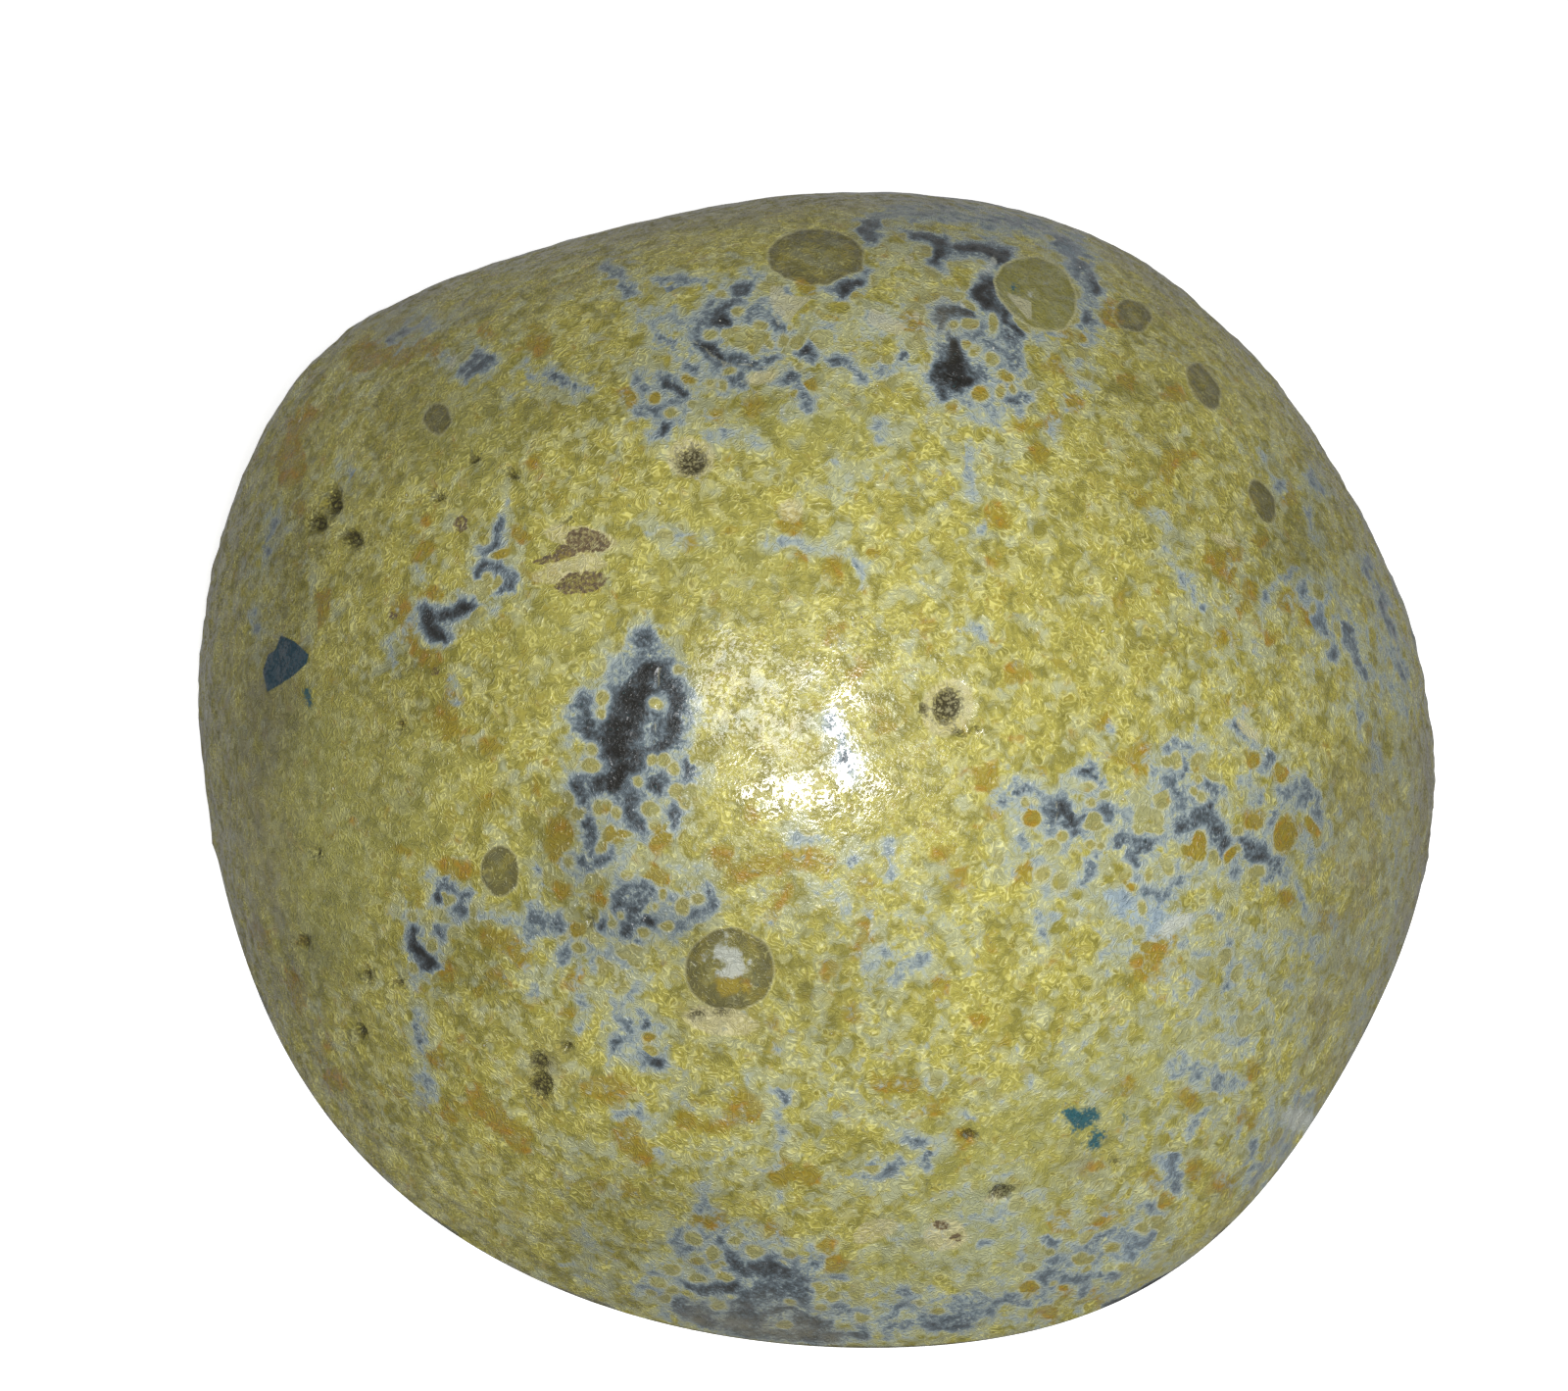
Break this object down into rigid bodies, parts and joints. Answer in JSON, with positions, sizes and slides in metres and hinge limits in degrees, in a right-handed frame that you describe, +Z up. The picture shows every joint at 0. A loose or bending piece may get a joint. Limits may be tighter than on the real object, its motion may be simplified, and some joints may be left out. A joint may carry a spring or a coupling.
{
  "type": "half agate nodule",
  "caption": "Half of a rounded agate nodule with its natural yellow-green and blue-grey rind, sawn flat on the underside so that it rests on the cut.",
  "frame": {"origin": "middle of the flat sawn face's bounding box, which is the underside the stone rests on", "axes": "+Z up out of the rind's crown, +X along the longest side, -Y towards the side that the picture's lower edge shows"},
  "size_m": [0.1035, 0.097, 0.045],
  "materials": {
    "agate_stone": "satin"
  },
  "bodies": {
    "root": {"nodule": "agate_stone"}
  },
  "joints": []
}
